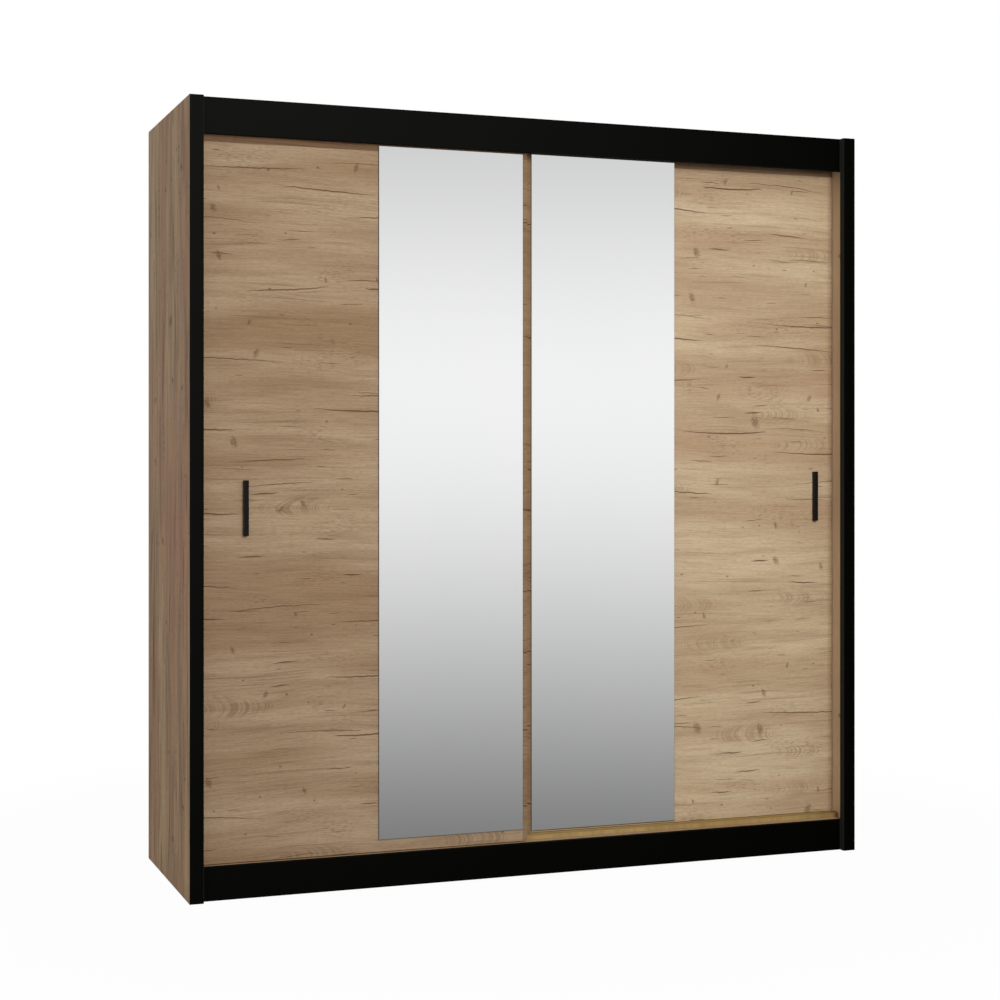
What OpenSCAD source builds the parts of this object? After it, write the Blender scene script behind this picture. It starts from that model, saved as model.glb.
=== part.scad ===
// Free-standing wardrobe with two sliding doors, each with a glued mirror.
// Millimetres. The origin is on the floor at the centre of the footprint,
// +Z is up and the doors face -Y. Inside place(), u runs to the right from the
// left outer face, v runs back from the front plane, and z runs up from the floor.

/* [Carcass] */
// Overall width over the two side boards
wardrobe_w = 2030; // [1650:10:2450]
// Overall depth, front plane to back panel
wardrobe_d = 610; // [500:5:740]
// Overall height
wardrobe_h = 2150; // [1800:10:2600]
// Thickness of every carcass board
board_t = 18; // [15:0.5:22]
// Thickness of the hardboard back
back_t = 3; // [2.5:0.5:5]
// Thickness of the black band on the front edge of each side board
band_t = 1; // [0.5:0.1:2]

/* [Front frame] */
// Width of the black strip beside each side board
strip_w = 20; // [15:1:30]
// Depth of the strips, and how far back the fascia and plinth stand
front_setback = 21; // [15:1:30]
// Height of the fascia that hides the top tracks
fascia_h = 97; // [90:1:130]
// Height of the plinth, up to the top of the bottom board
plinth_h = 90; // [75:1:120]

/* [Doors] */
// Thickness of a door board
door_t = 16; // [14:0.5:18]
// Front face of the left door, behind the front plane
left_door_v = 47; // [45:1:55]
// Distance between the front faces of the two doors
door_pitch = 50; // [48:1:60]
// Gap between a closed door and its side board
door_gap = 2; // [1.5:0.5:4]
// How far left of the middle the left door ends
meeting_offset = 33; // [0:1:60]
// How far the doors overlap when closed
door_overlap = 14; // [5:1:60]
// Height of the darker rail along the top of each door
door_rail_h = 70; // [50:1:90]

/* [Mirrors] */
// Mirror thickness
mirror_t = 4; // [3:0.5:6]
// Width of the left door's mirror
left_mirror_w = 430; // [250:5:520]
// Width of the right door's mirror
right_mirror_w = 458; // [250:2:560]
// Wood left between the left mirror and the meeting edge of its door
left_mirror_inset = 14; // [5:1:60]
// Wood left between the right mirror and the meeting edge of its door
right_mirror_inset = 46; // [20:1:90]

/* [Handles] */
// Length of a handle bar
handle_l = 150; // [120:2:220]
// Width of a handle bar
handle_w = 12; // [9:1:16]
// How far a handle stands out from its door
handle_out = 14; // [11:1:20]
// Height of the left handle above the bottom of its door
left_handle_z = 956; // [700:1:1200]
// Height of the right handle above the bottom of its door
right_handle_z = 965; // [700:1:1200]
// Handle to the outer edge of the left door
left_handle_inset = 142; // [40:1:200]
// Handle to the outer edge of the right door
right_handle_inset = 63; // [40:1:200]

/* [Running gear] */
// Running radius of a bottom wheel
wheel_r = 10.5; // [9:0.5:13]
// Distance from a door's end to its wheels and guides
wheel_inset = 90; // [60:5:200]
// Thickness of the board that carries the bottom rails
track_board_t = 12; // [9:0.5:15]

/* [Inside] */
// Distance from the top board down to the shelf over the hanging rail
top_shelf_drop = 332; // [200:1:600]
// Gap between the track board and the partition behind it
inside_gap = 6; // [4:1:60]

/* [Hidden] */
$fn = 48;

oak = "burlywood";
oak_dark = "peru";
black = "#1c1c1b";
steel = "silver";

// Clearances: a fixed pin in its hole, and a turning wheel on its pin
fit = 0.05;
run = 0.05;
// Space kept between a rolling face and the track it rolls on
roll_gap = 0.3;
// How far a cutting shape runs past the face it cuts
cut = 1;

// Carcass planes
in_u0 = board_t;
in_u1 = wardrobe_w - board_t;
mid_u = wardrobe_w / 2;
bay_u1 = mid_u - board_t / 2;
bay_u2 = mid_u + board_t / 2;
rear_v = wardrobe_d - back_t;
fascia_v = front_setback + board_t;
top_z = wardrobe_h - board_t;
floor_z = plinth_h - board_t;
rear_plinth_v = rear_v - 40;
back_gap = 1;

// Doors: index 0 is the left one on the front track, 1 the right one behind it
door_name = ["door_left", "door_right"];
meet_u = mid_u - meeting_offset;
door_u = [in_u0 + door_gap, meet_u - door_overlap];
door_w = [meet_u - door_u[0], in_u1 - door_gap - door_u[1]];
door_v = [left_door_v, left_door_v + door_pitch];
track_top_z = plinth_h + track_board_t;
door_z = [plinth_h + 3, track_top_z + 1.5];
door_h = top_z - 27 - door_z[0];
tongue_t = 5;
tongue_h = 8;

// Mirrors, in door order
mirror_w = [left_mirror_w, right_mirror_w];
mirror_u = [meet_u - left_mirror_inset - left_mirror_w, door_u[1] + right_mirror_inset];
mirror_lift = [33, 5];
mirror_top_gap = [55, 54.5];

// Handles, in door order
handle_u = [door_u[0] + left_handle_inset, in_u1 - door_gap - right_handle_inset];
handle_z = [door_z[0] + left_handle_z, door_z[1] + right_handle_z];
handle_pitch = 128;
handle_screw_r = 2;
handle_screw_out = 9;

// Tracks, rails and wheels
track_v = [for (v = door_v) v + door_t + 12];
track_board_v = [door_v[0] + door_t + 2, track_v[1] + 15];
rail_base_w = 18;
rail_base_t = 1.5;
rail_gap = 1;
rib_w = 3;
rib_h = 3;
barb_w = 2;
rib_top_z = track_top_z + rail_base_t + rib_h;
groove_h = 6;
channel_w = 20;
channel_h = 20;
channel_t = 1.5;
channel_z = top_z - channel_h;
wheel_z = rib_top_z + roll_gap + wheel_r;
flange_r = wheel_r + 2;
wheel_w = 8;
groove_w = 4;
axle_r = 2;
guide_r = channel_w / 2 - channel_t - roll_gap;
guide_z = channel_z + 1;
guide_h = 12;
pocket_r = flange_r + 1.5;
pocket_w = wheel_w + 2;
housing_w = 50;
housing_h = 45;
housing_out = 9;
housing_z = rib_top_z + 1.5;
axle_wall = 4.5;
ear_w = 76;
ear_h = 30;
ear_t = 3;
ear_z = housing_z + 12;
ear_screw_u = 32;
cap_r = axle_r + 1.5;
cap_t = 1.5;
bracket_w = 40;
bracket_t = 2;
bracket_z = channel_z - 3;
bracket_drop = 47;
bracket_screw_u = 12;
door_screw_l = 12;

// Partition, shelves and inside fittings
inside_v = track_board_v[1] + inside_gap;
shelf_v = inside_v + 4;
top_shelf_z = top_z - top_shelf_drop;
shelf_count = 4;
shelf_play = 1;
pin_r = 2.5;
pin_in = 8;
pin_out = 9;
pin_v = [shelf_v + 50, rear_v - 47];
pin_step = 32;
rail_v = (shelf_v + rear_v) / 2;
rail_z = top_shelf_z - board_t - 46;
rail_size = [15, 30];
rail_wall = 1.2;
socket_t = 3;
socket_depth = 12;
socket_size = [24, 52];
buffer_r = 6;
buffer_z = [400, wardrobe_h - 350];

// Fasteners
dowel_r = 4;
dowel_in = 10;
dowel_l = 30;
strip_dowel_in = 8;
strip_dowel_l = 20;
strip_dowel_z = [for (i = [0:5]) plinth_h + 60 + i * (wardrobe_h - plinth_h - 160) / 5];
front_dowel_u = [in_u0 + 280, mid_u - 40, in_u1 - 280];
support_dowel_v = [fascia_v + 40, rear_plinth_v - 60];
bolt_r = 3;
bolt_in = 11;
bolt_out = 20;
cam_r = 7.5;
cam_h = 13;
cam_out = 24;
joint_v = [shelf_v + 40, (shelf_v + rear_v) / 2, rear_v - 70];
dowel_shift = 32;
screw_r = 1.75;
screw_head_r = 3.5;
screw_head_h = 2.2;
pan_r = 3;
pan_h = 1.5;
handle_screw_head = [3.8, 2.2];
frame_screw_z = [plinth_h * 0.28, plinth_h * 0.66, wardrobe_h - 75, wardrobe_h - 40];
track_screw_u = [for (i = [0:4]) in_u0 + 60 + i * (in_u1 - in_u0 - 120) / 4];
top_screw_l = 11;
partition_screw_v = [for (v = joint_v) v - 20];
partition_screw_l = 50;
nail_r = 1;
nail_l = 22;
nail_head_r = 2.5;
nail_head_h = 1;
nail_z = [for (i = [0:9]) 30 + i * (wardrobe_h - 60) / 9];
nail_parts = [for (i = [1:4]) i / 5];
wall_bracket_u = [in_u0 + 102, in_u1 - 102];
wall_bracket_w = 30;
wall_bracket_l = 42;
wall_hole_r = 3;
wall_hole_z = top_z - 25;

// Board ends held by cams: face of the upright, way the board runs, board's middle, cam side
cam_ends = [
    [in_u0, 1, top_z + board_t / 2, 1], [in_u1, -1, top_z + board_t / 2, 1],
    [in_u0, 1, floor_z + board_t / 2, -1], [in_u1, -1, floor_z + board_t / 2, -1],
    [in_u0, 1, top_shelf_z - board_t / 2, -1], [bay_u1, -1, top_shelf_z - board_t / 2, -1],
];

// ---------- building blocks ----------

// Moves u, v, z to the object's own frame.
module place() translate([-wardrobe_w / 2, -wardrobe_d / 2, 0]) children();

// Box between two opposite corners.
module block(from, to) translate(from) cube(to - from);

// Turns children from +z to an axis direction and moves them to a point.
module along(at, way)
    translate(at)
        rotate(way.x != 0 ? [0, 90 * way.x, 0]
            : way.y != 0 ? [-90 * way.y, 0, 0]
            : [way.z < 0 ? 180 : 0, 0, 0])
            children();

// Straight round rod that starts at a point.
module rod(at, way, length, r) along(at, way) cylinder(h = length, r = r);

// Countersunk screw, head flush at a point, or its hole when grow is above 0.
module screw(at, way, length, grow = 0) along(at, way) {
    cylinder(h = screw_head_h, r1 = screw_head_r + grow, r2 = screw_r + grow);
    cylinder(h = length + grow, r = screw_r + grow);
    if (grow > 0) translate([0, 0, -cut]) cylinder(h = cut, r = screw_head_r + grow);
}

// Pan head screw, its head standing on the face at a point.
module pan_screw(at, way, length, r = screw_r, head = [pan_r, pan_h]) along(at, way) {
    translate([0, 0, -head[1]]) cylinder(h = head[1], r = head[0]);
    translate([0, 0, -head[1] / 2]) cylinder(h = length + head[1] / 2, r = r);
}

// Flat outline with two round ends, long way up.
module slot_shape(size) {
    square([size.x, size.y - size.x], center = true);
    for (s = [-1, 1]) translate([0, s * (size.y - size.x) / 2]) circle(d = size.x);
}

// ---------- fastener layouts, used for the fasteners and for their holes ----------

module cam_bolt_set(grow = 0)
    for (e = cam_ends, v = joint_v)
        rod([e[0] - e[1] * (bolt_in + grow), v, e[2]],
            [e[1], 0, 0], bolt_in + bolt_out + grow, bolt_r + grow);

module cam_set(grow = 0)
    for (e = cam_ends, v = joint_v)
        rod([e[0] + e[1] * cam_out, v, e[2] + e[3] * board_t / 2], [0, 0, -e[3]], cam_h + grow, cam_r + grow);

module end_dowel_set(grow = 0) {
    for (e = cam_ends, v = joint_v)
        rod([e[0] - e[1] * dowel_in, v + dowel_shift, e[2]], [e[1], 0, 0], dowel_l + grow, dowel_r + grow);
    for (e = [[in_u0, 1], [in_u1, -1]])
        rod([e[0] - e[1] * dowel_in, rear_plinth_v + board_t / 2, floor_z / 2],
            [e[1], 0, 0], dowel_l + grow, dowel_r + grow);
}

module strip_dowel_set(grow = 0)
    for (z = strip_dowel_z, e = [[in_u0, 1], [in_u1, -1]])
        rod([e[0] - e[1] * strip_dowel_in, front_setback / 2, z], [e[1], 0, 0],
            strip_dowel_l + grow, dowel_r + grow);

module front_dowel_set(grow = 0)
    for (u = front_dowel_u, z = [top_z + board_t / 2, floor_z + board_t / 2])
        rod([u, fascia_v - dowel_in - grow, z], [0, 1, 0], dowel_l + 2 * grow, dowel_r + grow);

module upright_dowel_set(grow = 0) {
    for (v = joint_v) {
        rod([mid_u, v + dowel_shift, top_z + dowel_in], [0, 0, -1], dowel_l + grow, dowel_r + grow);
        rod([mid_u, v + dowel_shift, plinth_h - dowel_in], [0, 0, 1], dowel_l + grow, dowel_r + grow);
    }
    for (v = support_dowel_v)
        rod([mid_u, v, floor_z + dowel_in], [0, 0, -1], dowel_l + grow, dowel_r + grow);
}

module partition_screw_set(grow = 0)
    for (v = partition_screw_v) {
        screw([mid_u, v, wardrobe_h], [0, 0, -1], partition_screw_l, grow);
        screw([mid_u, v, floor_z], [0, 0, 1], partition_screw_l, grow);
    }

module frame_screw_set(grow = 0)
    for (u = [in_u0 + strip_w / 2, in_u1 - strip_w / 2], z = frame_screw_z)
        screw([u, fascia_v, z], [0, -1, 0], fascia_v - 9, grow);

module track_board_screw_set(grow = 0)
    for (u = track_screw_u)
        screw([u, (track_v[0] + track_v[1]) / 2, track_top_z], [0, 0, -1], track_board_t + 13, grow);

// Pan head screw up into the top board through a plate, or its hole.
module top_screw(u, v, plate, grow) {
    if (grow > 0)
        rod([u, v, top_z - plate - cut], [0, 0, 1], plate + cut + top_screw_l + grow, screw_r + grow);
    else
        pan_screw([u, v, top_z - plate], [0, 0, 1], plate + top_screw_l);
}

module channel_screw_set(grow = 0)
    for (u = track_screw_u, v = track_v) top_screw(u, v, channel_t, grow);

module wall_screw_set(grow = 0)
    for (u = wall_bracket_u) top_screw(u, rear_v - 28, bracket_t, grow);

module socket_screw_set(grow = 0)
    for (e = [[in_u0, -1], [bay_u1, 1]], s = [-1, 1])
        screw([e[0] - e[1] * socket_t, rail_v, rail_z + s * 21], [e[1], 0, 0], 14, grow);

module nail(at, grow = 0) along(at, [0, -1, 0]) {
    cylinder(h = nail_head_h + grow, r = nail_head_r + grow);
    cylinder(h = nail_l + grow, r = nail_r + grow);
}

module nail_set(grow = 0) {
    for (z = nail_z, u = [board_t / 2, wardrobe_w - board_t / 2]) nail([u, wardrobe_d, z], grow);
    for (i = [1:9], u = [mid_u - 5, mid_u + 5]) nail([u, wardrobe_d, nail_z[i]], grow);
    for (z = [floor_z + board_t / 2, top_z + board_t / 2], k = nail_parts, u = [0, mid_u])
        nail([u + k * mid_u, wardrobe_d, z], grow);
}

function shelf_z(i) = plinth_h + i * (top_shelf_z - plinth_h) / shelf_count;

// Shelf pins, or their rows of holes with one hole above and one below
module pin_set(grow = 0)
    for (i = [1:shelf_count], v = pin_v, e = [[bay_u2, -1], [in_u1, 1]])
        for (dz = grow > 0 ? [-pin_step, 0, pin_step] : [0])
            rod([e[0] - e[1] * (grow > 0 ? cut : pin_out), v, shelf_z(i) - board_t - pin_r - fit + dz],
                [e[1], 0, 0], pin_in + (grow > 0 ? cut + grow : pin_out), pin_r + grow);

// ---------- carcass ----------

module side_holes() {
    cam_bolt_set(fit);
    end_dowel_set(fit);
    strip_dowel_set(fit);
    socket_screw_set(fit);
    pin_set(fit);
    nail_set(fit);
}

module side_board(right) color(oak_dark) place() difference() {
    block([right ? in_u1 : 0, band_t, 0], [right ? wardrobe_w : board_t, rear_v, wardrobe_h]);
    side_holes();
}

module front_edge_bands() color(black) place()
    for (u = [0, in_u1]) block([u, 0, 0], [u + board_t, band_t, wardrobe_h]);

module strip(right) color(black) place() difference() {
    u = right ? in_u1 - strip_w : in_u0;
    block([u, 0, 0], [u + strip_w, front_setback, wardrobe_h]);
    strip_dowel_set(fit);
    frame_screw_set(fit);
}

module fascia() color(black) place() difference() {
    block([in_u0, front_setback, wardrobe_h - fascia_h], [in_u1, fascia_v, wardrobe_h]);
    front_dowel_set(fit);
    frame_screw_set(fit);
}

module plinth_front() color(black) place() difference() {
    block([in_u0, front_setback, 0], [in_u1, fascia_v, plinth_h]);
    front_dowel_set(fit);
    frame_screw_set(fit);
}

module plinth_rear() color(oak) place() difference() {
    block([in_u0, rear_plinth_v, 0], [in_u1, rear_plinth_v + board_t, floor_z]);
    end_dowel_set(fit);
}

module centre_support() color(oak) place() difference() {
    block([bay_u1, fascia_v, 0], [bay_u2, rear_plinth_v, floor_z]);
    upright_dowel_set(fit);
}

// Board between the sides with its cams, dowels and nails.
module flat_board(z) color(oak) place() difference() {
    block([in_u0, fascia_v, z], [in_u1, rear_v, z + board_t]);
    cam_bolt_set(fit);
    cam_set(fit);
    end_dowel_set(fit);
    front_dowel_set(fit);
    upright_dowel_set(fit);
    partition_screw_set(fit);
    nail_set(fit);
    children();
}

module bottom_board() flat_board(floor_z) track_board_screw_set(fit);

module top_board() flat_board(top_z) {
    channel_screw_set(fit);
    wall_screw_set(fit);
}

module centre_partition() color(oak) place() difference() {
    block([bay_u1, inside_v, plinth_h], [bay_u2, rear_v, top_z]);
    cam_bolt_set(fit);
    end_dowel_set(fit);
    upright_dowel_set(fit);
    partition_screw_set(fit);
    socket_screw_set(fit);
    pin_set(fit);
    nail_set(fit);
}

module top_shelf() color(oak) place() difference() {
    block([in_u0, shelf_v, top_shelf_z - board_t], [bay_u1, rear_v, top_shelf_z]);
    cam_bolt_set(fit);
    cam_set(fit);
    end_dowel_set(fit);
}

module shelf(i) color(oak) place()
    block([bay_u2 + shelf_play, shelf_v, shelf_z(i) - board_t],
        [in_u1 - shelf_play, rear_v - 2 * shelf_play, shelf_z(i)]);

module back_panel(right) color("tan") place() difference() {
    block([right ? mid_u + back_gap / 2 : back_gap, rear_v, back_gap],
        [right ? wardrobe_w - back_gap : mid_u - back_gap / 2, wardrobe_d, wardrobe_h - back_gap]);
    nail_set(fit);
    for (u = wall_bracket_u) rod([u, rear_v - cut, wall_hole_z], [0, 1, 0], back_t + 2 * cut, wall_hole_r);
}

// ---------- inside fittings ----------

module rail_profile(grow = 0) slot_shape([rail_size.x + 2 * grow, rail_size.y + 2 * grow]);

module hanging_rail() color(steel) place()
    translate([in_u0 + 4, rail_v, rail_z]) rotate([90, 0, 90])
        linear_extrude(bay_u1 - in_u0 - 8) difference() {
            rail_profile();
            rail_profile(-rail_wall);
        }

module rail_socket() {
    difference() {
        linear_extrude(socket_depth) rail_profile(2.5);
        translate([0, 0, socket_t]) linear_extrude(socket_depth) rail_profile(fit * 4);
    }
    linear_extrude(socket_t) slot_shape(socket_size);
}

module rail_sockets() color(steel) place() difference() {
    union() {
        translate([in_u0, rail_v, rail_z]) rotate([90, 0, 90]) rail_socket();
        translate([bay_u1, rail_v, rail_z]) rotate([90, 0, -90]) rail_socket();
    }
    socket_screw_set(fit);
}

module wall_brackets() color(steel) place() difference() {
    for (u = wall_bracket_u) {
        block([u - wall_bracket_w / 2, rear_v - wall_bracket_l, top_z - bracket_t],
            [u + wall_bracket_w / 2, rear_v, top_z]);
        block([u - wall_bracket_w / 2, rear_v - bracket_t, top_z - wall_bracket_l],
            [u + wall_bracket_w / 2, rear_v, top_z]);
    }
    wall_screw_set(fit);
    for (u = wall_bracket_u)
        rod([u, rear_v - bracket_t - cut, wall_hole_z], [0, 1, 0], bracket_t + 2 * cut, wall_hole_r);
}

module track_board() color("goldenrod") place() difference() {
    block([in_u0, track_board_v[0], plinth_h], [in_u1, track_board_v[1], track_top_z]);
    for (v = track_v)
        block([in_u0 - cut, v - barb_w / 2 - fit, track_top_z - groove_h - fit],
            [in_u1 + cut, v + barb_w / 2 + fit, track_top_z + cut]);
    track_board_screw_set(fit);
}

module bottom_rails() color(steel) place() for (v = track_v) {
    u0 = in_u0 + rail_gap;
    u1 = in_u1 - rail_gap;
    block([u0, v - rail_base_w / 2, track_top_z], [u1, v + rail_base_w / 2, track_top_z + rail_base_t]);
    block([u0, v - rib_w / 2, track_top_z], [u1, v + rib_w / 2, rib_top_z]);
    block([u0, v - barb_w / 2, track_top_z - groove_h], [u1, v + barb_w / 2, track_top_z + rail_base_t]);
}

module top_tracks() color(steel) place() difference() {
    for (v = track_v)
        block([in_u0 + rail_gap, v - channel_w / 2, channel_z], [in_u1 - rail_gap, v + channel_w / 2, top_z]);
    for (v = track_v)
        block([in_u0, v - channel_w / 2 + channel_t, channel_z - cut],
            [in_u1, v + channel_w / 2 - channel_t, top_z - channel_t]);
    channel_screw_set(fit);
}

module door_buffers() color("dimgray") place()
    for (z = buffer_z, v = door_v, e = [[in_u0, 1], [in_u1, -1]])
        rod([e[0], v + door_t / 2, z], [e[1], 0, 0], door_gap - 0.4, buffer_r);

// ---------- carcass fasteners ----------

module cam_bolts() color(steel) place() cam_bolt_set();

module cam_locks() color("lightgray") place() difference() {
    cam_set();
    cam_bolt_set(fit);
}

module dowels() color("wheat") place() {
    end_dowel_set();
    strip_dowel_set();
    front_dowel_set();
    upright_dowel_set();
}

module shelf_pins() color(steel) place() pin_set();

module back_nails() color(steel) place() nail_set();

module wood_screws() color(steel) place() {
    frame_screw_set();
    track_board_screw_set();
    channel_screw_set();
    wall_screw_set();
    socket_screw_set();
}

module partition_screws() color(steel) place() partition_screw_set();

// ---------- doors ----------

function wheel_u(d, i) = i == 1 ? door_u[d] + wheel_inset : door_u[d] + door_w[d] - wheel_inset;

module handle_hole_set(d, r)
    for (s = [-1, 1])
        rod([handle_u[d], door_v[d] + door_t + cut, handle_z[d] + s * handle_pitch / 2],
            [0, -1, 0], door_t + handle_screw_out + 2 * cut, r);

module door_screw_set(d, grow = 0)
    for (i = [1, 2], s = [-1, 1]) {
        back = door_v[d] + door_t;
        u = wheel_u(d, i);
        screw([u + s * ear_screw_u, back + ear_t, ear_z + ear_h / 2], [0, -1, 0], ear_t + door_screw_l, grow);
        if (grow > 0)
            rod([u + s * bracket_screw_u, back + bracket_t + cut, bracket_z - bracket_drop / 2],
                [0, -1, 0], bracket_t + cut + door_screw_l + grow, screw_r + grow);
        else
            pan_screw([u + s * bracket_screw_u, back + bracket_t, bracket_z - bracket_drop / 2],
                [0, -1, 0], bracket_t + door_screw_l);
    }

// Height of the joint between a door's panel and its top rail
function door_joint_z(d) = door_z[d] + door_h - door_rail_h;

module tongue(d, grow = 0)
    block([door_u[d] - grow, door_v[d] + (door_t - tongue_t) / 2 - grow, door_joint_z(d) - tongue_h - grow],
        [door_u[d] + door_w[d] + grow, door_v[d] + (door_t + tongue_t) / 2 + grow, door_joint_z(d) + cut]);

module door_panel(d) color(oak) place() difference() {
    block([door_u[d], door_v[d], door_z[d]], [door_u[d] + door_w[d], door_v[d] + door_t, door_joint_z(d)]);
    tongue(d, fit);
    handle_hole_set(d, handle_screw_r + 0.1);
    door_screw_set(d, fit);
}

module door_top_rail(d) color(oak_dark) place() difference() {
    union() {
        block([door_u[d], door_v[d], door_joint_z(d)],
            [door_u[d] + door_w[d], door_v[d] + door_t, door_z[d] + door_h]);
        tongue(d);
    }
    door_screw_set(d, fit);
}

module door_mirror(d) color("lightblue") place()
    block([mirror_u[d], door_v[d] - mirror_t, door_z[d] + mirror_lift[d]],
        [mirror_u[d] + mirror_w[d], door_v[d], door_z[d] + door_h - mirror_top_gap[d]]);

module door_handle(d) color(black) place() difference() {
    block([handle_u[d] - handle_w / 2, door_v[d] - handle_out, handle_z[d] - handle_l / 2],
        [handle_u[d] + handle_w / 2, door_v[d], handle_z[d] + handle_l / 2]);
    handle_hole_set(d, handle_screw_r + fit);
}

module door_handle_screws(d) color(steel) place()
    for (s = [-1, 1])
        pan_screw([handle_u[d], door_v[d] + door_t, handle_z[d] + s * handle_pitch / 2],
            [0, -1, 0], door_t + handle_screw_out, handle_screw_r, handle_screw_head);

module door_roller_housings(d) color(black) place() for (i = [1, 2]) {
    u = wheel_u(d, i);
    back = door_v[d] + door_t;
    difference() {
        union() {
            block([u - housing_w / 2, back, housing_z],
                [u + housing_w / 2, track_v[d] + housing_out, housing_z + housing_h]);
            block([u - ear_w / 2, back, ear_z], [u + ear_w / 2, back + ear_t, ear_z + ear_h]);
        }
        rod([u, track_v[d] - pocket_w / 2, wheel_z], [0, 1, 0], pocket_w, pocket_r);
        block([u - pocket_r, track_v[d] - pocket_w / 2, housing_z - cut],
            [u + pocket_r, track_v[d] + pocket_w / 2, wheel_z]);
        rod([u, back + axle_wall - fit, wheel_z], [0, 1, 0], housing_w, axle_r + fit);
        door_screw_set(d, fit);
    }
}

module door_guide_brackets(d) color(steel) place() for (i = [1, 2]) {
    u = wheel_u(d, i);
    back = door_v[d] + door_t;
    difference() {
        union() {
            block([u - bracket_w / 2, back, bracket_z - bracket_drop],
                [u + bracket_w / 2, back + bracket_t, bracket_z]);
            block([u - bracket_w / 2, back, bracket_z - bracket_t],
                [u + bracket_w / 2, track_v[d] + guide_r, bracket_z]);
        }
        rod([u, track_v[d], bracket_z - bracket_t - cut], [0, 0, 1], bracket_t + 2 * cut, axle_r + fit);
        door_screw_set(d, fit);
    }
}

module door_axles(d) color(steel) place() for (i = [1, 2]) {
    u = wheel_u(d, i);
    wall_v = door_v[d] + door_t + axle_wall;
    face_v = track_v[d] + housing_out;
    foot_z = bracket_z - bracket_t - cap_t;
    head_z = guide_z + guide_h + 0.5;
    rod([u, wall_v, wheel_z], [0, 1, 0], face_v + cap_t - wall_v, axle_r);
    rod([u, face_v, wheel_z], [0, 1, 0], cap_t, cap_r);
    rod([u, track_v[d], foot_z], [0, 0, 1], head_z + cap_t - foot_z, axle_r);
    for (z = [foot_z, head_z]) rod([u, track_v[d], z], [0, 0, 1], cap_t, cap_r);
}

module door_screws(d) color(steel) place() door_screw_set(d);

module door_wheel(d, i) color("whitesmoke") place()
    translate([wheel_u(d, i), track_v[d], wheel_z]) rotate([90, 0, 0])
        rotate_extrude() polygon([
            [axle_r + run, -wheel_w / 2], [flange_r, -wheel_w / 2],
            [flange_r, -groove_w / 2 - 0.4], [wheel_r, -groove_w / 2],
            [wheel_r, groove_w / 2], [flange_r, groove_w / 2 + 0.4],
            [flange_r, wheel_w / 2], [axle_r + run, wheel_w / 2],
        ]);

module door_guide(d, i) color("whitesmoke") place()
    translate([wheel_u(d, i), track_v[d], guide_z]) difference() {
        cylinder(h = guide_h, r = guide_r);
        translate([0, 0, -cut]) cylinder(h = guide_h + 2 * cut, r = axle_r + run);
    }

side_board(false);  // side_left
side_board(true);  // side_right
front_edge_bands();
strip(false);  // strip_left
strip(true);  // strip_right
fascia();
plinth_front();
plinth_rear();
centre_support();
bottom_board();
top_board();
centre_partition();
top_shelf();
for (i = [1:shelf_count])
    shelf(i);
back_panel(false);  // back_panel_left
back_panel(true);  // back_panel_right
hanging_rail();
rail_sockets();
track_board();
bottom_rails();
top_tracks();
door_buffers();
wall_brackets();
cam_bolts();
cam_locks();
dowels();
shelf_pins();
back_nails();
wood_screws();
partition_screws();
for (d = [0, 1]) {
    door_panel(d);
    door_top_rail(d);
    door_mirror(d);
    door_handle(d);
    door_handle_screws(d);
    door_roller_housings(d);
    door_guide_brackets(d);
    door_axles(d);
    door_screws(d);
    for (i = [1, 2]) {
        door_wheel(d, i);
        door_guide(d, i);
    }
}
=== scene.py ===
import math

import bmesh
import bpy
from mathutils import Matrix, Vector


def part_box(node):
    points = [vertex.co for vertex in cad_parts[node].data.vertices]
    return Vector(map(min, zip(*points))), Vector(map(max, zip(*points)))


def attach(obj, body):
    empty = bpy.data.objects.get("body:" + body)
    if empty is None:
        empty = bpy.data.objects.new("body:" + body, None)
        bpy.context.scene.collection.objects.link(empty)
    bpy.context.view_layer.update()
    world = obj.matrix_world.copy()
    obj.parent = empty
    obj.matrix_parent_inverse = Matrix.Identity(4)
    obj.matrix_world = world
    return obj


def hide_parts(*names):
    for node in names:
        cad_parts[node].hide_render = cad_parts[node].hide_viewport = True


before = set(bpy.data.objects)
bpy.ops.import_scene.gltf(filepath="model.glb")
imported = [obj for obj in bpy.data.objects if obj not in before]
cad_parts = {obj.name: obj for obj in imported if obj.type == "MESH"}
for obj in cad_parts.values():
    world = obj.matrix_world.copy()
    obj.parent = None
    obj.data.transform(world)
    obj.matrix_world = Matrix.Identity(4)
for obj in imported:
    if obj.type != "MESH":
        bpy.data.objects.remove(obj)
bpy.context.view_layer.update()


# ---- The studio ----
# A pale floor that fades into a white surround, so that nothing but the wardrobe
# is seen. A broad key light stands in front, a little above head height, and the
# surround fills in from every side.

scene = bpy.context.scene
scene.view_settings.view_transform = "Standard"


def srgb(red, green, blue):
    """A colour picked as 0 to 255 on a screen, as the linear values a shader takes."""
    screen = (red / 255, green / 255, blue / 255)
    linear = [c / 12.92 if c <= 0.04045 else ((c + 0.055) / 1.055) ** 2.4 for c in screen]
    return (*linear, 1.0)


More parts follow.
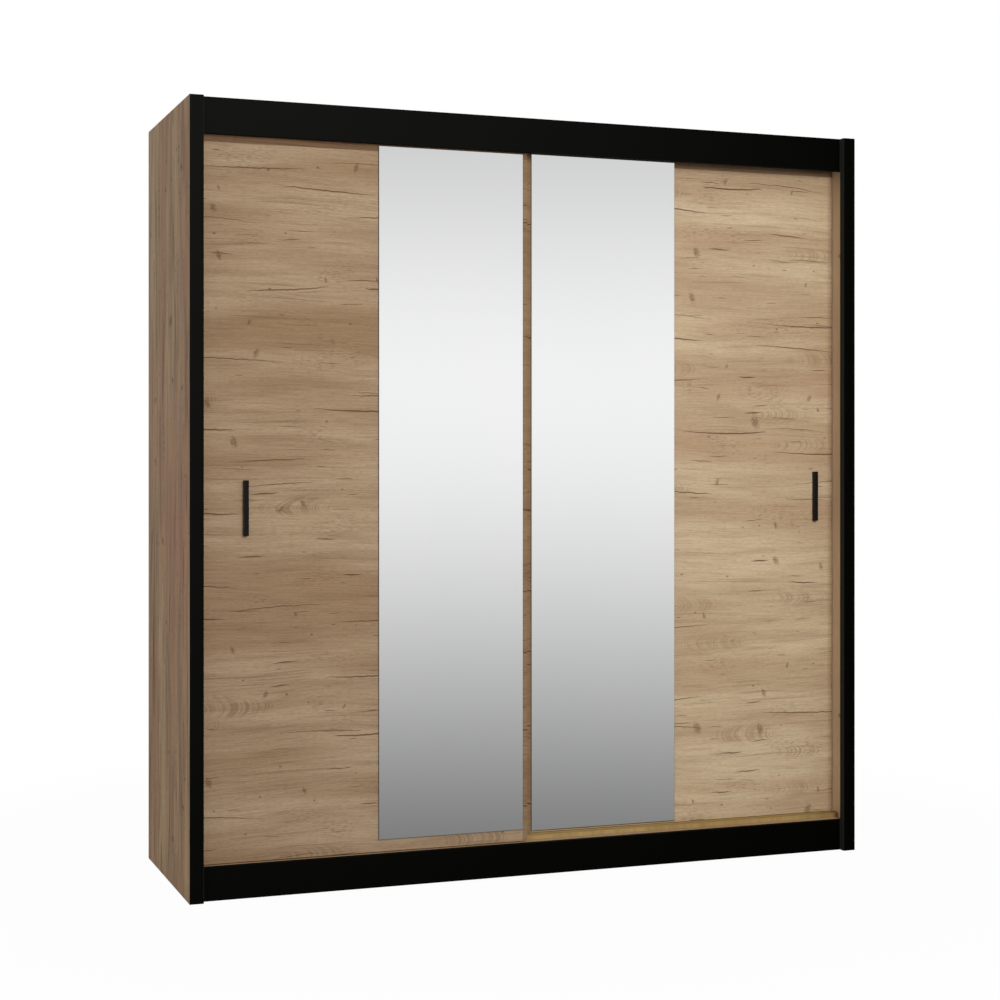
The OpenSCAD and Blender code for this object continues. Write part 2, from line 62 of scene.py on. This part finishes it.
class Value:
    """A socket of a finish. Sums written on it add the Math nodes that work them out."""

    def __init__(self, finish, socket):
        self.finish = finish
        self.socket = socket

    def maths(self, operation, first, second=0.0):
        return self.finish.node("ShaderNodeMath", {"operation": operation}, {0: first, 1: second})

    def __add__(self, other):
        return self.maths("ADD", self, other)

    def __radd__(self, other):
        return self.maths("ADD", other, self)

    def __sub__(self, other):
        return self.maths("SUBTRACT", self, other)

    def __rsub__(self, other):
        return self.maths("SUBTRACT", other, self)

    def __mul__(self, other):
        return self.maths("MULTIPLY", self, other)

    def __rmul__(self, other):
        return self.maths("MULTIPLY", other, self)

    def __truediv__(self, other):
        return self.maths("DIVIDE", self, other)

    def __abs__(self):
        return self.maths("ABSOLUTE", self)

    def __gt__(self, other):
        return self.maths("GREATER_THAN", self, other)

    def __lt__(self, other):
        return self.maths("LESS_THAN", self, other)


class Finish:
    """One procedural material, built node by node."""

    def __init__(self, name):
        self.material = bpy.data.materials.new(name)
        self.material.use_nodes = True
        self.tree = self.material.node_tree
        self.tree.nodes.clear()

    def node(self, kind, settings=None, values=None, output=0):
        """Adds a node: its settings first, then its sockets' values or links."""
        made = self.tree.nodes.new(kind)
        for key, setting in (settings or {}).items():
            setattr(made, key, setting)
        for key, value in (values or {}).items():
            if isinstance(value, Value):
                self.tree.links.new(value.socket, made.inputs[key])
            else:
                made.inputs[key].default_value = value
        return Value(self, made.outputs[output])

    def place(self):
        """X, Y and Z on the piece itself, in metres."""
        where = self.node("ShaderNodeTexCoord", output="Object")
        return {axis: self.node("ShaderNodeSeparateXYZ", values={0: where}, output=axis) for axis in "XYZ"}

    def noise(self, x, y, detail=2.0, roughness=0.5):
        """Smooth noise around 0.5 over two coordinates."""
        spot = self.node("ShaderNodeCombineXYZ", values={"X": x, "Y": y})
        return self.node("ShaderNodeTexNoise", {"noise_dimensions": "2D"},
                         {"Vector": spot, "Scale": 1.0, "Detail": detail, "Roughness": roughness})

    def step(self, value, low, high):
        """0 below low, 1 above high and smooth between."""
        return self.node("ShaderNodeMapRange", {"interpolation_type": "SMOOTHSTEP"},
                         {"Value": value, "From Min": low, "From Max": high})

    def mix(self, amount, first, second, blend="MIX"):
        """Goes from the first colour to the second by amount."""
        return self.node("ShaderNodeMix", {"data_type": "RGBA", "blend_type": blend},
                         {0: amount, 6: first, 7: second}, output=2)

    def surface(self, colour, roughness, height=None, depth=0.0002, **fixed):
        """Ends the finish with its shader; fixed names go to the shader's own sockets."""
        values = {"Base Color": colour, "Roughness": roughness}
        values.update({key.replace("_", " "): value for key, value in fixed.items()})
        if height is not None:
            values["Normal"] = self.node("ShaderNodeBump", values={"Height": height, "Distance": depth})
        shader = self.node("ShaderNodeBsdfPrincipled", values=values)
        self.node_output(shader)
        return self.material

    def node_output(self, shader, kind="ShaderNodeOutputMaterial"):
        end = self.tree.nodes.new(kind)
        self.tree.links.new(shader.socket, end.inputs["Surface"])


floor_radius = 40.0
floor_mesh = bpy.data.meshes.new("floor")
shape = bmesh.new()
bmesh.ops.create_circle(shape, cap_ends=True, radius=floor_radius, segments=96)
shape.to_mesh(floor_mesh)
shape.free()
floor = bpy.data.objects.new("floor", floor_mesh)
floor.visible_glossy = False
scene.collection.objects.link(floor)

paper = Finish("white_paper")
spot = paper.place()
reach_squared = spot["X"] * spot["X"] + spot["Y"] * spot["Y"]
shaded = paper.node("ShaderNodeBsdfDiffuse", values={"Color": srgb(190, 190, 190)})
bright = paper.node("ShaderNodeEmission", values={"Color": (1, 1, 1, 1), "Strength": 1.0})
dim = paper.node("ShaderNodeEmission", values={"Color": (1, 1, 1, 1), "Strength": 0.2})
seen_directly = paper.node("ShaderNodeLightPath", output="Is Camera Ray")
whiteness = paper.step(reach_squared, 0.8, 6.0) * 0.03 + 0.97
shown = paper.node("ShaderNodeMixShader", values={0: whiteness, 1: shaded, 2: bright})
felt = paper.node("ShaderNodeMixShader", values={0: 0.6, 1: shaded, 2: dim})
paper.node_output(paper.node("ShaderNodeMixShader", values={0: seen_directly, 1: felt, 2: shown}))
floor_mesh.materials.append(paper.material)

surround = bpy.data.worlds.new("surround")
surround.use_nodes = True
scene.world = surround
sky = Finish("sky")
sky.tree = surround.node_tree
sky.tree.nodes.clear()
# What polished pieces reflect, from low to high: a dim floor, then the surround at its
# brightest just above the level of the eye, and less of it overhead
floor_glow = 0.14
eye_glow = 0.90
ceiling_glow = 0.58
direction = sky.node("ShaderNodeTexCoord", output="Generated")
upward = sky.node("ShaderNodeSeparateXYZ", values={0: direction}, output="Z")
rise = sky.step(upward, -0.26, 0.04) * (eye_glow - floor_glow)
fall = sky.step(upward, 0.04, 0.22) * (eye_glow - ceiling_glow)
glow = rise - fall + floor_glow
reflected = sky.node("ShaderNodeBackground", values={"Color": glow, "Strength": 1.0})
white = sky.node("ShaderNodeBackground", values={"Color": (1, 1, 1, 1), "Strength": 1.0})
fill = sky.node("ShaderNodeBackground", values={"Color": (1, 1, 1, 1), "Strength": 0.45})
for_matt = sky.node("ShaderNodeLightPath", output="Is Diffuse Ray")
for_polish = sky.node("ShaderNodeLightPath", output="Is Glossy Ray")
lit = sky.node("ShaderNodeMixShader", values={0: for_matt, 1: white, 2: fill})
backdrop = sky.node("ShaderNodeMixShader", values={0: for_polish, 1: lit, 2: reflected})
sky.node_output(backdrop, "ShaderNodeOutputWorld")

key = bpy.data.objects.new("key_light", bpy.data.lights.new("key_light", "AREA"))
key.data.shape = "DISK"
key.data.size = 1.8
key.data.energy = 125
key.location = (0.25, -4.3, 2.4)
key.rotation_euler = (Vector((0, -0.2, 1.1)) - key.location).to_track_quat("-Z", "Y").to_euler()
key.visible_glossy = False
scene.collection.objects.link(key)

camera = bpy.data.objects.new("camera", bpy.data.cameras.new("camera"))
camera.location = (-1.990, -5.116, 1.181)
camera.rotation_euler = (math.radians(90), 0, math.radians(-19.69))
camera.data.sensor_width = 36
camera.data.lens = 66.0
camera.data.shift_x = 0.045
camera.data.shift_y = -0.0407
scene.collection.objects.link(camera)
scene.camera = camera


# ---- Side boards ----
# Two full-height chipboard sides, 18 mm thick, covered in an oak decor foil whose
# grain runs upright. They carry everything else and are joined by cams and dowels.

def oak(name, grain, tones, crack, shift=(0.0, 0.0), cracks=0.5, arcs=0.5, streaks=0.2,
        sheen=0.15, coarse=1.0, painted_light_inside=None):
    """Oak decor foil over board.

    grain is the axis along the fibres and the one across them, tones its dark, middle,
    light and warm colours and crack the brown of its splits. cracks and arcs are the
    share of places that have one, streaks the strength of the bands, coarse the size of
    the flaws. The last argument is a distance from the middle and a lighter colour for
    the faces inside it: painted light that brightens those faces.
    """
    wood = Finish(name)
    axis = wood.place()
    s = axis[grain[0]] + shift[0]
    t = axis[grain[1]] + shift[1]
    dark, middle, light, warm = tones

    # Broad bands of tone, then fibres from a few millimetres down to a hair
    sway = (wood.noise(s * 1.3, t * 2.4, 2.0) - 0.5) * 0.05
    sway = sway + (wood.noise(s * 6.0, t * 15.0, 2.0) - 0.5) * 0.005
    flow = t + sway
    bands = wood.noise(s * 0.9, flow * 6.5, 2.0, 0.5)
    fine_bands = wood.noise(s * 2.4 + 5.0, flow * 30.0, 3.0, 0.6)
    fibres = wood.noise(s * 9.0, flow * 330.0, 3.0, 0.68)
    hairs = wood.noise(s * 60.0, t * 620.0, 3.0, 0.65)
    colour = wood.mix(wood.step(bands, 0.33, 0.67), middle, light)
    colour = wood.mix(wood.step(fine_bands, 0.42, 0.72) * (0.12 + 0.5 * streaks), colour, dark)
    warmth = wood.step(wood.noise(s * 1.0 + 20.0, flow * 11.0, 2.0), 0.45, 0.75)
    colour = wood.mix(warmth * (0.25 + 0.75 * streaks), colour, warm)
    colour = wood.mix(wood.step(fibres, 0.38, 0.68) * 0.27, colour, dark)
    colour = wood.mix(wood.step(hairs, 0.42, 0.68) * 0.27, colour, dark)
    smudges = wood.step(wood.noise(s * 1.7 + 31.0, flow * 46.0, 3.0, 0.6), 0.58, 0.74)
    colour = wood.mix(smudges * 0.75 * streaks, colour, crack)

    # Fine brown lines that come and go along the fibres
    lines = wood.step(wood.noise(s * 1.9 + 9.0, flow * 125.0, 2.0, 0.55), 0.60, 0.72)
    shown = wood.step(wood.noise(s * 3.5, t * 11.0 + 3.0, 1.0), 0.40, 0.65)
    colour = wood.mix(lines * shown * 0.30, colour, crack)

    def cells(long, wide, start):
        """Scattered points: distance along and across to the nearest, and its own numbers."""
        x = s / long + start
        y = t / wide + start
        kind = {"voronoi_dimensions": "2D"}
        spot = wood.node("ShaderNodeCombineXYZ", values={"X": x, "Y": y})
        found = {"Vector": spot, "Scale": 1.0, "Randomness": 0.9}
        centre = wood.node("ShaderNodeTexVoronoi", kind, found, output="Position")
        chance = wood.node("ShaderNodeTexVoronoi", kind, found, output="Color")
        ds = (x - wood.node("ShaderNodeSeparateXYZ", values={0: centre}, output="X")) * long
        dt = (y - wood.node("ShaderNodeSeparateXYZ", values={0: centre}, output="Y")) * wide
        names = ("Red", "Green", "Blue")
        numbers = [wood.node("ShaderNodeSeparateColor", values={0: chance}, output=c) for c in names]
        return ds, dt, numbers

    # Growth rings cut through at their tips, nested arcs in a few places
    ds, dt, (way, fold, pick) = cells(0.42, 0.115, 11.0)
    bow = ds * ((way > 0.5) * 2.0 - 1.0) + dt * dt * (fold * 26.0 + 26.0)
    rings = wood.noise(bow * 150.0 + sway * 500.0, pick * 40.0, 2.0, 0.6)
    near = wood.step(1.0 - ds * ds * 60.0 - dt * dt * 900.0 + (fine_bands - 0.5) * 1.6, 0.0, 0.9)
    colour = wood.mix(near * wood.step(rings, 0.44, 0.64) * (pick < arcs) * 0.42, colour, dark)

    def checks(long, wide, start, longest, thick, share):
        """Long thin splits in the timber, tapering to both ends."""
        ds, dt, (tilt, bend, size) = cells(long, wide, start)
        half = size * size * longest + longest * 0.16
        drift = (tilt - 0.5) * 0.17 * ds + (bend - 0.5) * 0.9 * ds * ds
        drift = drift + (wood.noise(s * 34.0, t * 7.0, 3.0) - 0.5) * 0.0055
        across = abs(dt - drift) / (bend * thick + thick * 0.55)
        along = ds / half
        line = wood.step(1.0 - along * along - across, 0.0, 0.5)
        number = tilt * 7.0 + bend * 5.0
        return line * (number.maths("FRACT", number) < share)

    check = checks(0.34 * coarse, 0.056, 3.0, 0.20 * coarse, 0.0019 * coarse, cracks)
    small = checks(0.13, 0.040, 17.0, 0.050, 0.0011 * coarse, cracks * 0.7)

    # Slanting knots with a dark heart, round pin knots and crowds of specks
    ds, dt, (turn, span, pick) = cells(0.24, 0.13, 7.0)
    slant = (turn > 0.5) * 2.0 - 1.0
    widened = coarse * 0.3 + 0.7
    u = (ds * 0.42 * slant + dt * 0.90) / (span * span * 0.016 + 0.010) / widened
    v = (ds * 0.90 - dt * 0.42 * slant) / (span * span * 0.012 + 0.0048) / widened
    mottle = wood.noise(s * 190.0, t * 150.0, 3.0, 0.7)
    knot = wood.step(1.0 - u * u - v * v + (mottle - 0.5) * 2.2, 0.0, 1.3) * (pick > 0.55)
    ds, dt, (_, span, pick) = cells(0.10, 0.085, 1.0)
    far = (ds * ds * 0.45 + dt * dt) / (span * 0.000012 + 0.000004)
    pin = wood.step(1.0 - far + (mottle - 0.5), 0.0, 0.9) * (pick > 0.78)
    crowd = wood.step(wood.noise(s * 4.0 + 2.0, t * 11.0, 1.0), 0.58, 0.74)
    specks = wood.step(wood.noise(s * 55.0, t * 300.0, 2.0), 0.52, 0.66) * crowd

    colour = wood.mix(specks * 0.30, colour, crack)
    colour = wood.mix(knot * 0.62, colour, crack)
    colour = wood.mix(pin * 0.60, colour, crack)
    colour = wood.mix(small * 0.70, colour, crack)
    colour = wood.mix(check * 0.85, colour, crack)
    if painted_light_inside:
        limit, tint = painted_light_inside
        # Painted light: faces nearer the middle than the given distance are coloured lighter
        colour = wood.mix((abs(axis["X"]) < limit) * 0.75, colour, tint)
    height = fibres * 0.3 + hairs * 0.2 - check - small * 0.6 - knot * 0.3
    return wood.surface(colour, fibres * 0.14 + 0.5, height, 0.0002, Specular_IOR_Level=sheen)


def wear(material, *nodes, bevel=0.0005):
    """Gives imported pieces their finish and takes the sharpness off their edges."""
    for node in nodes:
        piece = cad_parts[node]
        piece.data.materials.clear()
        piece.data.materials.append(material)
        if bevel:
            weld = piece.modifiers.new("weld", "WELD")
            weld.merge_threshold = 0.00001
            round_off = piece.modifiers.new("round_off", "BEVEL")
            round_off.width = bevel
            round_off.segments = 2
            round_off.limit_method = "ANGLE"
            round_off.angle_limit = math.radians(40)


side_tones = [srgb(114, 82, 60), srgb(207, 168, 134), srgb(228, 196, 155), srgb(212, 160, 128)]
# The inner faces of the sides are coloured a lighter oak: painted light, brightening faces that lie in shade
# inside the carcass
inner_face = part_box("side_right")[0].x + 0.0015
side_oak = oak("side_oak", "ZY", side_tones, srgb(54, 36, 25), (0.4, 1.7), cracks=0.5, arcs=0.2,
               streaks=0.6, sheen=0.05, coarse=1.7, painted_light_inside=(inner_face, srgb(236, 207, 170)))
wear(side_oak, "side_left", "side_right", bevel=0.0006)


# ---- Black front frame ----
# Edge bands, upright strips, fascia and plinth: black melamine board with a fine
# pore pressed into it. The fascia and plinth are screwed to the strips from behind.

melamine = Finish("black_melamine")
at = melamine.place()
pore = melamine.noise(at["X"] * 420.0 + at["Y"] * 300.0, at["Z"] * 420.0, 2.0, 0.6)
cloud = melamine.noise(at["X"] * 3.0 + at["Y"] * 2.0, at["Z"] * 3.0, 2.0)
# Painted reflection: the base colour is lighter towards the upper left and fades to the right and towards the
# floor, standing in for the sheen of a light on the black board
sheen = (0.52 - at["X"] * 0.46) * (at["Z"] * 0.33 + 0.3)
tint = melamine.mix(sheen, srgb(3, 3, 2), srgb(23, 23, 21))
tint = melamine.mix(pore * 0.12 + cloud * 0.12, tint, srgb(7, 7, 6))
# Painted highlight: the inner face of each strip is coloured a shade lighter, as a face that catches more
# light
strip_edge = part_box("strip_right")[0].x
tint = melamine.mix(abs(abs(at["X"]) - strip_edge) < 0.0008, tint, srgb(44, 44, 41))
frame_black = melamine.surface(tint, pore * 0.15 + 0.42, pore, 0.00006, Specular_IOR_Level=0.01)
wear(frame_black, "strip_left", "strip_right", "fascia", "plinth_front", bevel=0.0006)
wear(frame_black, "front_edge_bands", bevel=0.0003)
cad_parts["fascia"].visible_glossy = False


# ---- Inside boards ----
# Top, bottom, partition, shelves and the hidden supports: the same chipboard in a
# quieter oak decor, cut to length and edge banded at the front.

inside_tones = [srgb(140, 112, 84), srgb(170, 144, 114), srgb(186, 162, 131), srgb(176, 146, 116)]
shelf_oak = oak("shelf_oak", "XY", inside_tones, srgb(96, 74, 54), (2.1, 0.6), cracks=0.2, arcs=0.1)
upright_oak = oak("upright_oak", "ZY", inside_tones, srgb(96, 74, 54), (1.1, 3.6), cracks=0.2, arcs=0.1)
wear(shelf_oak, "bottom_board", "top_board", "top_shelf", "shelf_1", "shelf_2", "shelf_3", "shelf_4")
wear(shelf_oak, "plinth_rear")
wear(upright_oak, "centre_partition", "centre_support")


# ---- Back ----
# Two sheets of thin hardboard nailed on from behind, brown and matt, the sheets
# meeting on the partition.

def hardboard_finish():
    sheet = Finish("hardboard")
    at = sheet.place()
    flake = sheet.noise(at["X"] * 90.0, at["Z"] * 90.0, 4.0, 0.7)
    felt = sheet.noise(at["X"] * 700.0, at["Z"] * 700.0, 2.0, 0.6)
    cloud = sheet.noise(at["X"] * 2.0, at["Z"] * 2.0, 3.0)
    colour = sheet.mix(cloud, srgb(140, 112, 82), srgb(156, 128, 97))
    colour = sheet.mix(sheet.step(flake, 0.4, 0.7) * 0.5, colour, srgb(118, 92, 65))
    return sheet.surface(colour, felt * 0.2 + 0.65, felt + flake, 0.0001, Specular_IOR_Level=0.25)


wear(hardboard_finish(), "back_panel_left", "back_panel_right", bevel=0)


# ---- Rails and tracks ----
# The doors run on two gold anodised aluminium rails pressed into a golden oak
# board and are guided above by two plain aluminium channels screwed under the top.

golden_tones = [srgb(128, 100, 58), srgb(162, 134, 84), srgb(184, 158, 108), srgb(166, 138, 90)]
golden_oak = oak("golden_oak", "XY", golden_tones, srgb(92, 68, 40), (0.2, 0.9), cracks=0.2, arcs=0.0)
wear(golden_oak, "track_board")


def drawn_metal(name, light, dark, along, roughness, metallic=1.0):
    """Metal with fine lines left along one axis by drawing, rolling or brushing."""
    metal = Finish(name)
    at = metal.place()
    other = [a for a in "XYZ" if a != along]
    lines = metal.noise(at[along] * 12.0, (at[other[0]] + at[other[1]]) * 2600.0, 2.0, 0.6)
    smear = metal.noise(at[along] * 25.0, (at[other[0]] + at[other[1]]) * 60.0, 3.0, 0.6)
    colour = metal.mix(smear * 0.6 + lines * 0.4, dark, light)
    return metal.surface(colour, lines * 0.12 + smear * 0.12 + roughness, lines, 0.00003, Metallic=metallic)


aluminium = drawn_metal("aluminium", srgb(214, 215, 217), srgb(176, 178, 181), "X", 0.26)
gold_anodised = drawn_metal("gold_anodised", srgb(196, 166, 106), srgb(158, 130, 76), "X", 0.34, metallic=0.7)
wear(gold_anodised, "bottom_rails", bevel=0.0002)
wear(aluminium, "top_tracks", bevel=0.0002)


# ---- Hanging rail ----
# A chromed oval steel tube that drops into a cup screwed to each side of the bay.

chrome = drawn_metal("chrome", srgb(232, 234, 236), srgb(206, 209, 212), "X", 0.05)
zinc = drawn_metal("zinc", srgb(196, 196, 190), srgb(150, 151, 148), "Z", 0.32)
wear(chrome, "hanging_rail", bevel=0)
wear(zinc, "rail_sockets", "wall_brackets", bevel=0.0003)


# ---- Door boards ----
# Each door is one 16 mm oak decor board with the grain running level, and a rail tongued
# along its top edge, coloured darker as painted shade standing in for the fascia's shadow.

# The right door's tones are lighter and yellower than the left door's: partly the decor, partly painted
# light, the right door coloured as if more brightly lit
left_tones = [srgb(112, 83, 57), srgb(157, 130, 101), srgb(179, 155, 126), srgb(147, 118, 89)]
right_tones = [srgb(140, 108, 78), srgb(188, 163, 132), srgb(207, 186, 154), srgb(180, 148, 117)]
# Painted shade: the rails' darker tones stand in for the shadow of the fascia on the doors
rail_tones = [srgb(96, 70, 50), srgb(122, 93, 69), srgb(134, 106, 80), srgb(118, 88, 66)]
check_brown = srgb(92, 62, 40)
left_oak = oak("left_door_oak", "XZ", left_tones, check_brown, (0.0, 0.3), cracks=0.62, arcs=0.35)
right_oak = oak("right_door_oak", "XZ", right_tones, check_brown, (5.3, 2.2), cracks=0.62, arcs=0.6)
rail_oak = oak("door_rail_oak", "XZ", rail_tones, srgb(64, 46, 32), (1.4, 5.0), cracks=0.3, arcs=0.0)
# Painted light: the right door's rail is coloured lighter than the left's, taking back some of the fascia's
# shadow on the rear door
painted_lighter_rail_tones = [srgb(110, 83, 61), srgb(140, 111, 85), srgb(152, 123, 96), srgb(134, 105, 79)]
painted_lighter_rail_oak = oak("painted_lighter_door_rail_oak", "XZ", painted_lighter_rail_tones, srgb(84, 62, 44), (1.4, 5.0),
                     cracks=0.3, arcs=0.0)
wear(left_oak, "door_left_panel", bevel=0.0006)
wear(right_oak, "door_right_panel", bevel=0.0006)
wear(rail_oak, "door_left_top_rail", bevel=0.0003)
wear(painted_lighter_rail_oak, "door_right_top_rail", bevel=0.0003)


# ---- Mirrors ----
# A sheet of 4 mm silvered float glass glued to each door. Its edges are ground and
# show a dull grey.

def add_piece(name, shape, *materials):
    """Turns a finished bmesh into a piece of the model."""
    mesh = bpy.data.meshes.new(name)
    shape.to_mesh(mesh)
    shape.free()
    for material in materials:
        mesh.materials.append(material)
    piece = bpy.data.objects.new(name, mesh)
    scene.collection.objects.link(piece)
    return piece


def box_shape(low, high):
    shape = bmesh.new()
    bmesh.ops.create_cube(shape, size=1.0)
    middle = (low + high) / 2
    for vertex in shape.verts:
        vertex.co = Vector(middle[k] + vertex.co[k] * (high[k] - low[k]) for k in range(3))
    return shape


silver = Finish("silvered_glass")
at = silver.place()
haze = silver.noise(at["X"] * 3.0, at["Z"] * 2.0, 3.0)
silver_tint = silver.mix(haze, srgb(250, 251, 251), srgb(253, 253, 253))
mirror_face = silver.surface(silver_tint, haze * 0.02 + 0.01, Metallic=1.0)

ground = Finish("ground_glass_edge")
at = ground.place()
frost = ground.noise((at["X"] + at["Y"]) * 900.0, at["Z"] * 900.0, 2.0)
mirror_edge = ground.surface(ground.mix(frost, srgb(66, 66, 56), srgb(92, 92, 80)), frost * 0.2 + 0.25)

for side in ("left", "right"):
    node = f"door_{side}_mirror"
    low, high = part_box(node)
    shape = box_shape(low, high)
    for face in shape.faces:
        face.material_index = 0 if face.normal.y < -0.5 else 1
    front_edges = [e for e in shape.edges if all(abs(v.co.y - low.y) < 1e-6 for v in e.verts)]
    bmesh.ops.bevel(shape, geom=front_edges, offset=0.0008, segments=2, affect="EDGES", material=1)
    mirror = add_piece(f"mirror_{side}", shape, mirror_face, mirror_edge)
    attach(mirror, f"door_{side}")
    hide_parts(node)


# ---- Meeting edges ----
# Where the doors meet, the margin of each beside its mirror is covered by a thin sheet of darker
# oak, trimmed flush with the edge of the door: painted shade, standing in for the shadow there.

shade_sheet_tones = [srgb(100, 73, 50), srgb(141, 114, 86), srgb(152, 126, 97), srgb(134, 104, 77)]
shade_sheet_oak = oak("meeting_edge_oak", "XZ", shade_sheet_tones, srgb(56, 38, 26), (0.0, 0.3), cracks=0.8, arcs=0.0)
# Half the thickness of the painted shade sheet, and its inset from the ends
foil = 0.0003
for side in ("left", "right"):
    panel_low, panel_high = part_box(f"door_{side}_panel")
    glass_low, glass_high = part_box(f"door_{side}_mirror")
    if side == "left":
        start, end = glass_high.x, panel_high.x
    else:
        start, end = panel_low.x, glass_low.x
    shape = box_shape(Vector((start + foil, panel_low.y - foil, panel_low.z + foil)),
                      Vector((end - foil, panel_low.y + foil, panel_high.z - foil)))
    shade_sheet = add_piece(f"door_{side}_meeting_painted_shade", shape, shade_sheet_oak)
    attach(shade_sheet, f"door_{side}")


# ---- Handles ----
# A slim solid bar with softly rounded edges, cast and powder coated satin black,
# flat against the door and held by two screws from behind.

coat = Finish("black_powder_coat")
at = coat.place()
peel = coat.noise((at["X"] + at["Y"]) * 1500.0, at["Z"] * 1500.0, 2.0, 0.6)
coat_tint = coat.mix(peel, srgb(9, 9, 9), srgb(22, 22, 21))
handle_black = coat.surface(coat_tint, peel * 0.1 + 0.35, peel, 0.00004, Specular_IOR_Level=0.16)
wear(handle_black, "door_left_handle", "door_right_handle", bevel=0.0015)


# ---- Running gear ----
# Moulded black housings hold a grooved nylon wheel on a steel pin at the foot of
# each door, and bent steel brackets hold a nylon roller at its head.

def moulded(name, light, dark, roughness):
    plastic = Finish(name)
    at = plastic.place()
    grain = plastic.noise((at["X"] + at["Y"]) * 800.0, at["Z"] * 800.0, 3.0, 0.6)
    cloud = plastic.noise((at["X"] + at["Y"]) * 30.0, at["Z"] * 30.0, 2.0)
    colour = plastic.mix(grain * 0.6 + cloud * 0.4, dark, light)
    return plastic.surface(colour, grain * 0.15 + roughness, grain, 0.00005)


black_plastic = moulded("black_plastic", srgb(44, 44, 43), srgb(26, 26, 25), 0.42)
nylon = moulded("nylon", srgb(226, 226, 218), srgb(206, 206, 197), 0.35)
rubber = moulded("buffer_rubber", srgb(186, 160, 130), srgb(168, 142, 114), 0.6)
for side in ("left", "right"):
    door = f"door_{side}"
    wear(black_plastic, f"{door}_roller_housings", bevel=0.0005)
    wear(zinc, f"{door}_guide_brackets", f"{door}_axles", bevel=0.0002)
    wear(zinc, f"{door}_screws", f"{door}_handle_screws", bevel=0)
    wear(nylon, *[f"{door}_{part}_{i}" for part in ("wheel", "guide") for i in (1, 2)], bevel=0.0003)
wear(rubber, "door_buffers", bevel=0.0003)


# ---- Carcass fittings ----
# Zinc plated cams, bolts, screws, nails and shelf pins, and beech dowels, all
# sunk in the boards or hidden behind them.

beech = Finish("beech")
at = beech.place()
ray_fleck = beech.noise(at["X"] * 60.0, (at["Y"] + at["Z"]) * 500.0, 2.0, 0.6)
beech_tint = beech.mix(ray_fleck, srgb(196, 164, 122), srgb(220, 192, 150))
dowel_beech = beech.surface(beech_tint, ray_fleck * 0.2 + 0.5, ray_fleck, 0.0001)
wear(zinc, "cam_bolts", "cam_locks", "shelf_pins", bevel=0)
wear(zinc, "back_nails", "wood_screws", "partition_screws", bevel=0)
wear(dowel_beech, "dowels", bevel=0)
